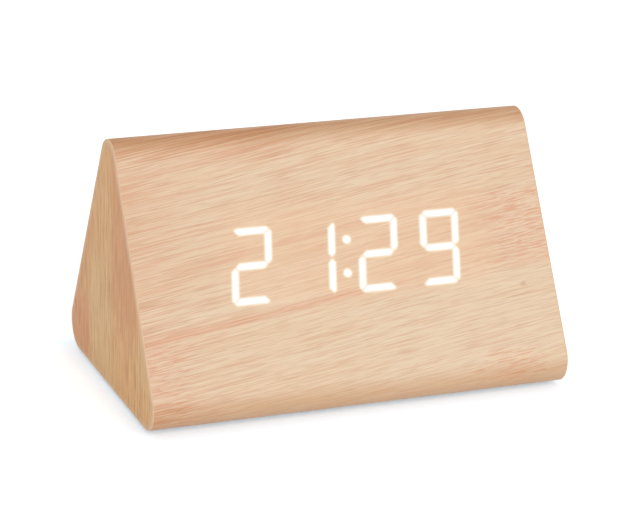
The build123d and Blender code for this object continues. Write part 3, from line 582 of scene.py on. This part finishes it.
colour = tint(band * 0.35, colour, orange_band)
colour = tint(most(rear_patch * 0.78, brown_band * 0.7, rear_strip * 0.5), colour, rust_patch)
colour = tint(most(broad_band, pale_strip) * 0.6, colour, straw_band)
colour = tint(line * 0.65, colour, upright_streak)
colour = tint(fibre * 0.45, colour, upright_streak)
colour = tint(most(front_lines, vein, rear_patch * line) * 0.5, colour, dark_streak)
# Painted highlight: the band over the pressed edge is tinted paler, toward the front's cream, as light
# caught on the edge.
join(tint(edge_highlight * 0.8, colour, edge_highlight_paint), shader, "Base Color")
join(line * 0.08 + 0.48, shader, "Roughness")
join(relief(line + fibre * 0.6, print_relief, print_depth), shader, "Normal")
for direction, place in ((-1, "left"), (1, "right")):
    skin = end_skin(f"{place}_end_skin", direction)
    shown(f"{place}_end_skin", skin, end_print, f"{place}_end_film")

# Under the film is the housing itself: three MDF boards glued into a tube and two end panels. Pressed
# brown fibre shows where the floor opening, the window and the holes are routed through it.


def cloud(start, size, detail=2.0, roughness=0.5):
    """Noise in space whose marks are about that size in millimetres."""
    spot = start.node("ShaderNodeTexCoord", output=3)
    return start.node("ShaderNodeTexNoise", None,
                      {"Vector": spot, "Scale": 1000 / size, "Detail": detail, "Roughness": roughness})


def grains(start, size):
    """How far each point is from the nearest of many scattered middles, as a share of their spacing."""
    spot = start.node("ShaderNodeTexCoord", output=3)
    return start.node("ShaderNodeTexVoronoi", None, {"Vector": spot, "Scale": 1000 / size})


def coat(finish, *nodes):
    """Gives the CAD nodes this finish."""
    for node in nodes:
        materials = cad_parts[node].data.materials
        materials.clear()
        materials.append(finish)


fibreboard, start, shader = new_finish("fibreboard")
wool = cloud(start, 1.6, 4, 0.7)
chips = step(grains(start, 0.9), 0.25, 0.55)
stain = step(cloud(start, 22, 2), 0.40, 0.62)
colour = tint(step(wool, 0.35, 0.65), paint(168, 126, 88), paint(206, 168, 126))
colour = tint(chips * 0.25, colour, paint(146, 104, 68))
colour = tint(stain * 0.22, colour, paint(182, 138, 98))
join(colour, shader, "Base Color")
join(wool * 0.15 + 0.78, shader, "Roughness")
join(relief(wool * 0.7 + chips * 0.3, 0.5, 0.00012), shader, "Normal")
coat(fibreboard, "mdf_sleeve", "left_end_panel", "right_end_panel")

# Behind the front wall's window stands the segment block: a matt white moulding with a tapered well for
# each bar and dot. Milky resin fills each well's mouth, and the block is glued to the display board.


def moulded(name, colour, roughness, texture=0.35, depth=0.00002):
    """Moulded plastic: the fine grain that the mould leaves, faint flow marks, and scattered pale dust. The
    colour is as it looks on a screen, and the grain's size is in millimetres."""
    finish, start, shader = new_finish(name)
    pits = cloud(start, texture, 3, 0.6)
    flow = step(cloud(start, 9, 2), 0.38, 0.64)
    dust = step(cloud(start, 2.2, 4, 0.7), 0.54, 0.72)
    body = np.array(colour)
    surface = tint(flow * 0.6, paint(*body * 0.93), paint(*np.minimum(body * 1.05 + 4, 255)))
    surface = tint(step(pits, 0.3, 0.7) * 0.3, surface, paint(*body * 0.86))
    join(tint(dust * 0.10, surface, paint(*body * 0.7 + 70)), shader, "Base Color")
    join(pits * 0.16 + flow * 0.05 + dust * 0.08 + (roughness - 0.1), shader, "Roughness")
    join(relief(pits, 0.35, depth), shader, "Normal")
    return finish


coat(moulded("white_moulding", (232, 232, 226), 0.55), "segment_block")
coat(moulded("milky_resin", (238, 235, 222), 0.30, texture=1.4, depth=0.00001), "segment_lenses")

# At the foot of each well sits an LED chip, soldered to the display board. It is a small white ceramic
# cup filled with gel, in which a yellow phosphor turns the blue light white.
phosphor, start, shader = new_finish("phosphor")
gel = cloud(start, 0.5, 3)
colour = tint(step(gel, 0.38, 0.62), paint(236, 214, 120), paint(246, 240, 208))
join(colour, shader, "Base Color")
join(gel * 0.2 + 0.3, shader, "Roughness")
join(relief(gel, 0.3, 0.00002), shader, "Normal")
coat(phosphor, "led_chips")

# The display board is glass fibre under a green solder mask, with copper tracks showing as paler lines.
# Four small screws hold it to the front wall. On its back are the driver chip, the crystal and the
# ribbon's header.
track_pitch = 1.27
via_pitch = 4.0


def worked(operation, value):
    """One Math node with that operation on the value."""
    return value.node("ShaderNodeMath", {"operation": operation}, {0: value})


def solder_mask(name, up):
    """A circuit board: tracks at one pitch run along it and up it, each broken up by noise in its own
    lane, and plated holes lie scattered between them. Up is the board's upward direction, as (y, z)."""
    finish, start, shader = new_finish(name)
    x, y, z = object_places(start)
    rise = y * up[0] + z * up[1]
    lanes = []
    for along, over in ((x, rise), (rise, x)):
        lane = worked("FRACT", over / track_pitch)
        number = worked("FLOOR", over / track_pitch)
        run = step(grain(along, number * 7.3, 11, 1, detail=0), 0.50, 0.51)
        lanes.append(within(lane, 0.36, 0.64, 0.03) * run)
    tracks = most(*lanes)
    spot = start.node("ShaderNodeCombineXYZ", None, {"X": x / via_pitch, "Y": rise / via_pitch})
    hole = start.node("ShaderNodeTexVoronoi", {"voronoi_dimensions": "2D"}, {"Vector": spot, "Scale": 1.0})
    ring = 1 - step(hole, 0.09, 0.11)
    weave = grain(x, rise, 0.9, 0.4, detail=1)
    colour = tint(tracks * 0.8, paint(24, 82, 50), paint(46, 118, 72))
    colour = tint(weave * 0.18, colour, paint(14, 58, 34))
    join(tint(ring, colour, paint(206, 196, 170)), shader, "Base Color")
    join(ring, shader, "Metallic")
    join(ring * 0.1 + weave * 0.08 + 0.26, shader, "Roughness")
    join(relief(tracks * 0.7 + ring * 0.3, 0.6, 0.00003), shader, "Normal")
    return finish


def plated(name, colour, roughness):
    """Plated metal: bright, with fine drawing marks, cloudy handling marks and small dull spots."""
    finish, start, shader = new_finish(name)
    x, y, z = object_places(start)
    marks = grain(x + z * 0.4, y + z, 3.5, 0.12, detail=2)
    clouds = step(cloud(start, 5, 3), 0.40, 0.64)
    spots = step(cloud(start, 0.7, 3, 0.7), 0.60, 0.72)
    body = np.array(colour)
    surface = tint(clouds * 0.5, paint(*body), paint(*body * 0.90))
    join(tint(spots * 0.35, surface, paint(*body * 0.66)), shader, "Base Color")
    join(marks * 0.16 + clouds * 0.08 + spots * 0.2 + (roughness - 0.08), shader, "Roughness")
    join(relief(marks, 0.25, 0.00001), shader, "Normal")
    shader.inputs["Metallic"].default_value = 1.0
    return finish


driver_half_width = 3.75
nickel_plate = plated("nickel_plate", (214, 212, 206), 0.26)
zinc_plate = plated("zinc_plate", (186, 188, 190), 0.34)
cream_nylon = moulded("cream_nylon", (228, 221, 200), 0.42)
coat(solder_mask("display_board_mask", front_up[1:]), "display_board")
coat(zinc_plate, "display_screws", "key_screws", "base_screws")
coat(nickel_plate, "clock_crystal", "socket_pin", "battery_contacts")
coat(cream_nylon, "display_header", "key_header", "lead_plug")

driver_row = (np.append(0, core.mean(0)) @ front_up) / mm
driver_finish, start, shader = new_finish("driver_chip")
_, y, z = object_places(start)
rise = worked("ABSOLUTE", y * front_up[1] + z * front_up[2] - driver_row)
legs = step(rise, driver_half_width - 0.02, driver_half_width + 0.02)
epoxy = cloud(start, 0.3, 3, 0.6)
colour = tint(step(epoxy, 0.35, 0.65), paint(38, 38, 40), paint(54, 54, 56))
join(tint(legs, colour, paint(206, 206, 202)), shader, "Base Color")
join(legs, shader, "Metallic")
join(epoxy * 0.15 + 0.42 - legs * 0.16, shader, "Roughness")
join(relief(epoxy, 0.3, 0.00001), shader, "Normal")
coat(driver_finish, "driver_chip")

# A flat grey ribbon of eight wires joins the two boards. Its ribs are the wires in their insulation, and
# it bends freely from one header to the other.
ribbon_route = [(19, -19.19, 25.185), (19, -13.994, 22.185), (19, 8.077, 22.233), (19, 13.273, 25.233)]
ribbon_width = 8.0 * mm
ribbon_thickness = 0.9 * mm
ribbon_wires = 8
marked_wire = (14.8, 15.9)


def line_through(name, route, steps=12):
    """Points along a smooth NURBS line that has the route's points, in millimetres, as its control
    points."""
    curve = bpy.data.curves.new(name, "CURVE")
    curve.dimensions = "3D"
    curve.resolution_u = steps
    spline = curve.splines.new("NURBS")
    spline.points.add(len(route) - 1)
    for point, place in zip(spline.points, route):
        point.co = (*(Vector(place) * mm), 1.0)
    spline.order_u = 3
    spline.use_endpoint_u = True
    holder = bpy.data.objects.new(name, curve)
    bpy.context.scene.collection.objects.link(holder)
    line = bpy.data.meshes.new_from_object(holder)
    points = np.zeros(len(line.vertices) * 3)
    line.vertices.foreach_get("co", points)
    bpy.data.objects.remove(holder)
    bpy.data.curves.remove(curve)
    bpy.data.meshes.remove(line)
    return points.reshape(-1, 3)


def drawn_along(name, runs, section):
    """Each run is a line of points and a way to its side, or one for each point. The section's first
    measure is laid along the part of that way which is square to the line, and its second square to both.
    One face closes each end. The length along the line, in millimetres, is kept as the attribute
    "along"."""
    points, faces, lengths = [], [], []
    count = len(section)
    for line, aside in runs:
        ways = np.gradient(line, axis=0)
        ways /= np.linalg.norm(ways, axis=1)[:, None]
        first = aside - ways * (ways * aside).sum(1)[:, None]
        first /= np.linalg.norm(first, axis=1)[:, None]
        second = np.cross(ways, first)
        begin = count * sum(len(lengths_of) for lengths_of in lengths)
        rings = line[:, None] + first[:, None] * section[:, :1] + second[:, None] * section[:, 1:]
        points.append(rings.reshape(-1, 3))
        steps = np.linalg.norm(np.diff(line, axis=0), axis=1)
        lengths.append(np.concatenate([[0], np.cumsum(steps)]) / mm)
        last = begin + (len(line) - 1) * count
        faces += (ring_faces(len(line), count) + begin).tolist()
        faces += [list(range(begin, begin + count)), list(range(last, last + count))]
    marks = {"along": np.repeat(np.concatenate(lengths), count)}
    return closed_mesh(name, np.concatenate(points), faces, marks)


turn = np.linspace(0, 2 * pi, 12 * ribbon_wires, endpoint=False)
rib = 0.62 + 0.38 * np.abs(np.cos(np.cos(turn) * pi * ribbon_wires / 2))
ribbon_section = np.stack([np.cos(turn) * ribbon_width / 2,
                           np.sign(np.round(np.sin(turn), 9)) * rib * ribbon_thickness / 2], 1)
ribbon_line = line_through("ribbon_line", ribbon_route)
ribbon_mesh = drawn_along("ribbon_strip", [(ribbon_line, np.array([[1.0, 0, 0]]))], ribbon_section)
ribbon_finish, start, shader = new_finish("ribbon_jacket")
along = start.node("ShaderNodeAttribute", {"attribute_name": "along"}, output=2)
x, _, _ = object_places(start)
marker = within(x, *marked_wire, 0.05)
soft = grain(along, x, 14, 0.6)
colour = tint(soft, paint(158, 160, 162), paint(186, 188, 189))
join(tint(marker, colour, paint(176, 62, 54)), shader, "Base Color")
join(soft * 0.12 + 0.42, shader, "Roughness")
join(relief(soft, 0.3, 0.00003), shader, "Normal")
shown("ribbon_strip", ribbon_mesh, ribbon_finish, "ribbon_cable")

# Behind the rear wall the key board hangs on four tubes. It carries three tact switches with their
# plungers, the buzzer, whose port faces the sound hole, and the round power inlet that comes through the
# wall.
rear_up = np.array([-0.5, sqrt(3) / 2])
coat(solder_mask("key_board_mask", rear_up), "key_board")
coat(moulded("spacer_nylon", (228, 226, 216), 0.42), "key_spacers")
coat(moulded("switch_black", (46, 46, 48), 0.48), "set_switch", "up_switch", "down_switch")
coat(moulded("plunger_nylon", (216, 212, 198), 0.36), "set_plunger", "up_plunger", "down_plunger")
coat(moulded("buzzer_black", (40, 40, 42), 0.44, texture=0.8), "buzzer")
coat(moulded("inlet_black", (42, 42, 44), 0.40, texture=0.5), "power_socket")

# The three push buttons are domed black mouldings. Each has its flange behind the wall, and fingers have
# polished the middle of its dome.
button_pitch = 12.0
button_drop = 6.0
button_row = rear_up @ np.array([side / 4, foot_height + side * sqrt(3) / 4]) / mm - button_drop
polished_radius = 1.7

button_finish, start, shader = new_finish("button_black")
x, y, z = object_places(start)
from_middle = x - worked("ROUND", x / button_pitch) * button_pitch
from_row = y * rear_up[0] + z * rear_up[1] - button_row
radius = worked("SQRT", from_middle * from_middle + from_row * from_row)
polish = 1 - step(radius, polished_radius - 0.6, polished_radius)
pits = cloud(start, 0.25, 3, 0.6)
scuffs = step(cloud(start, 1.4, 4, 0.7), 0.52, 0.70)
colour = tint(pits, paint(38, 38, 40), paint(54, 54, 56))
join(tint(scuffs * 0.25, colour, paint(84, 84, 86)), shader, "Base Color")
join(pits * 0.12 + 0.44 - polish * 0.18, shader, "Roughness")
join(relief(pits * (1 - polish * 0.7), 0.35, 0.00002), shader, "Normal")
coat(button_finish, "set_button", "up_button", "down_button")

# A black moulded plate closes the floor opening, held by four countersunk screws. The battery tray stands
# on it, and four thin rubber pads under the corners keep it off the table.
coat(moulded("plate_black", (50, 50, 52), 0.52, texture=0.3, depth=0.00003), "base_plate")
rubber, start, shader = new_finish("rubber_pad")
pores = cloud(start, 0.4, 4, 0.7)
dust = step(cloud(start, 3, 4, 0.7), 0.46, 0.66)
colour = tint(pores, paint(40, 40, 41), paint(58, 58, 58))
join(tint(dust * 0.3, colour, paint(112, 108, 102)), shader, "Base Color")
join(pores * 0.12 + 0.80, shader, "Roughness")
join(relief(pores, 0.5, 0.00004), shader, "Normal")
coat(rubber, "rubber_feet")

# The battery door is a flat moulding with two hooked tabs. Its latch is a bent tongue of the same
# plastic, and both are shiny where a thumb pushes them, between the grip grooves and the pad.
grip_start = 12.0
grip_half_width = 8.0

door_finish, start, shader = new_finish("door_black")
x, y, _ = object_places(start)
pits = cloud(start, 0.3, 3, 0.6)
flow = step(cloud(start, 14, 2), 0.38, 0.64)
rubbing = step(x, grip_start - 3, grip_start + 3) * within(y, -grip_half_width, grip_half_width, 2)
scratches = step(grain(x + y * 0.5, y, 7, 0.10, detail=2), 0.62, 0.68)
colour = tint(flow * 0.5, paint(46, 46, 48), paint(58, 58, 60))
colour = tint(scratches * 0.35, colour, paint(88, 88, 90))
join(colour, shader, "Base Color")
join(pits * 0.14 + 0.46 - rubbing * 0.14 + scratches * 0.08, shader, "Roughness")
join(relief(pits * (1 - rubbing * 0.6), 0.4, 0.00003), shader, "Normal")
coat(door_finish, "battery_door", "door_latch")

# Nickel-plated contacts join the four cells in a row. Where each cell's flat end comes, a conical coil
# spring is soldered to its contact.
cell_pitch = 11.0
cell_middle = 9.45 * mm
contact_face = 24.85
spring_wire = 0.5 * mm
spring_base_radius = 3.4 * mm
spring_tip_radius = 2.0 * mm
spring_turns = 3
spring_height = 5.2 * mm
spring_bend = 0.6 * mm
spring_steps = 96
bend_steps = 7


def spring_run(row):
    """The wire's line: up off the plate, a quarter bend, turns whose radius narrows evenly as they climb,
    another quarter bend, and straight on to the cell. Returns the line and the ways out from the spring's
    axis."""
    low = spring_wire + spring_bend
    share = np.linspace(0, 1, spring_steps)
    angle = share * 2 * pi * spring_turns
    radius = spring_base_radius + (spring_tip_radius - spring_base_radius) * share
    climb = low + (spring_height - 2 * low) * share
    coil = np.stack([radius * np.cos(angle), radius * np.sin(angle), climb], 1)
    quarter = np.linspace(0, pi / 2, bend_steps)[:-1]
    foot = np.stack([np.full(bend_steps - 1, spring_base_radius), -spring_bend * np.cos(quarter),
                     spring_wire + spring_bend * np.sin(quarter)], 1)
    tip = np.stack([np.full(bend_steps - 1, spring_tip_radius), spring_bend * np.cos(quarter[::-1]),
                    spring_height - spring_wire - spring_bend * np.sin(quarter[::-1])], 1)
    places = np.concatenate([[[spring_base_radius, -spring_bend, 0]], foot, coil, tip,
                             [[spring_tip_radius, spring_bend, spring_height]]])
    aside = np.concatenate([np.tile([1.0, 0], (bend_steps, 1)), np.stack([np.cos(angle), np.sin(angle)], 1),
                            np.tile([1.0, 0], (bend_steps, 1))])
    end = -1 if row % 2 == 0 else 1
    line = np.stack([end * (contact_face * mm - places[:, 2]), (row - 1.5) * cell_pitch * mm + places[:, 0],
                     cell_middle - end * places[:, 1]], 1)
    return line, np.stack([np.zeros(len(places)), aside[:, 0], -end * aside[:, 1]], 1)


turn = np.linspace(0, 2 * pi, 10, endpoint=False)
round_wire = np.stack([np.cos(turn), np.sin(turn)], 1)
springs = drawn_along("spring_wires", [spring_run(row) for row in range(4)], round_wire * spring_wire / 2)
spring_plate, start, shader = new_finish("spring_plate")
along = start.node("ShaderNodeAttribute", {"attribute_name": "along"}, output=2)
drawing = grain(along, cloud(start, 1, 2) * 3, 4, 0.3, detail=2)
solder = 1 - step(along, 0.8, 1.6)
colour = tint(drawing, paint(196, 194, 188), paint(222, 220, 214))
join(tint(solder, colour, paint(188, 190, 192)), shader, "Base Color")
join(drawing * 0.16 + solder * 0.12 + 0.20, shader, "Roughness")
join(relief(drawing, 0.2, 0.00001), shader, "Normal")
shader.inputs["Metallic"].default_value = 1.0
shown("spring_wires", springs, spring_plate, "battery_springs")

# Four AAA cells lie side by side, heads and tails. Each is a steel can in a plain shrunk jacket, slate
# grey with a pale band at its nub, and the jacket leaves both ends bare.
jacket_edge_radius = 4.5
band_length = 11.5
ring_places = ((12.6, 13.0), (40.4, 41.0))


def cell_finish(name, nub_side):
    """A cell's jacket, with the bare steel inside the jacket's edge at both ends."""
    finish, start, shader = new_finish(name)
    x, y, z = object_places(start)
    row = worked("ROUND", y / cell_pitch - 0.5)
    aside = y - (row + 0.5) * cell_pitch
    rise = z - cell_middle / mm
    radius = worked("SQRT", aside * aside + rise * rise)
    steel = 1 - step(radius, jacket_edge_radius, jacket_edge_radius + 0.1)
    from_nub = contact_face - x * nub_side
    band = 1 - step(from_nub, band_length, band_length + 0.1)
    rings = most(*[within(from_nub, *ring, 0.03) for ring in ring_places])
    shrink = grain(x, cloud(start, 4, 2) * 12, 5, 0.5, detail=2)
    turned = grain(radius, x, 0.12, 30, detail=1)
    colour = tint(shrink * 0.4, paint(70, 76, 84), paint(84, 90, 98))
    colour = tint(band, colour, paint(196, 198, 196))
    colour = tint(rings, colour, paint(206, 208, 206))
    join(tint(steel, colour, paint(204, 204, 202)), shader, "Base Color")
    join(steel, shader, "Metallic")
    join(shrink * 0.10 + 0.26 + steel * turned * 0.2, shader, "Roughness")
    join(relief(shrink * (1 - steel) + turned * steel, 0.3, 0.00002), shader, "Normal")
    return finish


coat(cell_finish("cell_jacket_right", 1), "cell_1", "cell_3")
coat(cell_finish("cell_jacket_left", -1), "cell_2", "cell_4")

# Two thin wires in soft insulation run from the end contacts' tags to the plug on the key board: the red
# one goes straight up, and the black one goes round past the end of the tray.
red_route = [(-27.85, 16.5, 13.85), (-27.85, 16.5, 17.7), (-28.75, 16.822, 22.086),
             (-28.75, 15.072, 25.117)]
black_route = [(-27.85, -16.5, 13.85), (-27.85, -16.5, 18.25), (-29.979, -13.231, 20.623),
               (-32.214, -6.526, 20.355), (-33.197, 1.967, 18.03), (-32.75, 10.013, 15.617),
               (-31.856, 15.645, 17.405), (-31.25, 16.822, 22.086), (-31.25, 15.072, 25.117)]
lead_radius = 0.55 * mm


def insulation(name, colour):
    """Soft insulation: faint rings where it was drawn over the wire, dull from handling."""
    finish, start, shader = new_finish(name)
    along = start.node("ShaderNodeAttribute", {"attribute_name": "along"}, output=2)
    rings = grain(along, cloud(start, 2, 2) * 2, 0.5, 1, detail=2)
    handling = step(cloud(start, 3, 3, 0.6), 0.45, 0.65)
    body = np.array(colour)
    surface = tint(rings * 0.5, paint(*body), paint(*body * 0.86))
    join(tint(handling * 0.2, surface, paint(*body * 0.75 + 50)), shader, "Base Color")
    join(rings * 0.1 + handling * 0.1 + 0.34, shader, "Roughness")
    join(relief(rings, 0.3, 0.00002), shader, "Normal")
    return finish


for name, route, colour in (("red", red_route, (186, 40, 34)), ("black", black_route, (44, 44, 46))):
    line = line_through(f"{name}_line", route)
    wire = drawn_along(f"{name}_wire", [(line, np.array([[1.0, 0, 0]]))], round_wire * lead_radius)
    shown(f"{name}_wire", wire, insulation(f"{name}_insulation", colour), f"{name}_lead")

# The table is a seamless white sheet, clear from below. The camera, gloss and glass see it as white, with a
# painted shadow beside the clock:
# a band where its glow is dimmer and bluer. It still keeps the clock's own soft shadow.
floor_reach = 4.0
clock_half_depth = 40
painted_shadow_reach = 7
floor_white = paint(244, 249, 254)
shadow_glow_paint = paint(228, 244, 255)
open_glow = paint(255, 255, 255)
shadow_glow_strength = 0.44
open_strength = 0.50


def showing_ray(start):
    """1 for a ray that shows the white room: straight from the camera, off gloss or through glass."""
    return most(*[start.node("ShaderNodeLightPath", output=kind) for kind in (0, 3, 6)])


floor_mesh = bpy.data.meshes.new("floor")
floor_mesh.from_pydata([(-floor_reach, -floor_reach, 0), (floor_reach, -floor_reach, 0),
                        (floor_reach, floor_reach, 0), (-floor_reach, floor_reach, 0)], [], [(0, 1, 2, 3)])
floor = bpy.data.objects.new("floor", floor_mesh)
bpy.context.scene.collection.objects.link(floor)
floor_finish, start, shader = new_finish("floor")
ray = showing_ray(start)
shader.inputs["Base Color"].default_value = floor_white
shader.inputs["Roughness"].default_value = 1.0
shader.inputs["Specular IOR Level"].default_value = 0.0
x, y, _ = object_places(start)
past_clock = most(most(x, 0 - x) - half_length / mm, most(y, 0 - y) - clock_half_depth)
# Painted shadow: within this reach of the clock's footprint the floor's glow is dimmer and bluer.
past_painted_shadow = step(past_clock, 0, painted_shadow_reach)
strength = ray * (past_painted_shadow * (open_strength - shadow_glow_strength) + shadow_glow_strength)
glowing = start.node("ShaderNodeEmission", None,
                     {"Color": tint(past_painted_shadow, shadow_glow_paint, open_glow), "Strength": strength})
lit_floor = start.node("ShaderNodeAddShader", None, {0: Wire(start.tree, shader.outputs[0]), 1: glowing})
clear = start.node("ShaderNodeBsdfTransparent")
underneath = start.node("ShaderNodeNewGeometry", output=6)
sheet = start.node("ShaderNodeMixShader", None, {0: underneath, 1: lit_floor, 2: clear})
start.tree.links.new(sheet.socket, start.tree.nodes["Material Output"].inputs["Surface"])
floor_mesh.materials.append(floor_finish)

# A wide softbox in front of the clock and to its right gives the front its light. A white room fills the
# rest, a little darker towards its ceiling, and the camera, gloss and glass see it as plain white.
room_light = 0.67
ceiling_light = 0.60
softbox_size = (0.9, 0.6)
softbox_energy = 4.85
softbox_aim = Vector((0, 0, 0.03))

world = bpy.data.worlds.new("room")
bpy.context.scene.world = world
world.use_nodes = True
start = Wire(world.node_tree)
height = split(start, start.node("ShaderNodeTexCoord", output=0), 1)[2]
ray = showing_ray(start)
room = step(height, 0.2, 0.9) * (ceiling_light - room_light) + room_light
world_strength = ray + (1 - ray) * room
world.node_tree.links.new(world_strength.socket, world.node_tree.nodes["Background"].inputs["Strength"])
world.node_tree.nodes["Background"].inputs["Color"].default_value = (1, 1, 1, 1)
softbox = bpy.data.objects.new("softbox", bpy.data.lights.new("softbox", "AREA"))
softbox.data.shape = "RECTANGLE"
softbox.data.size, softbox.data.size_y = softbox_size
softbox.data.energy = softbox_energy
softbox.location = (0.22, -1.1, 0.75)
softbox.rotation_euler = (softbox_aim - softbox.location).to_track_quat("-Z", "Y").to_euler()
bpy.context.scene.collection.objects.link(softbox)
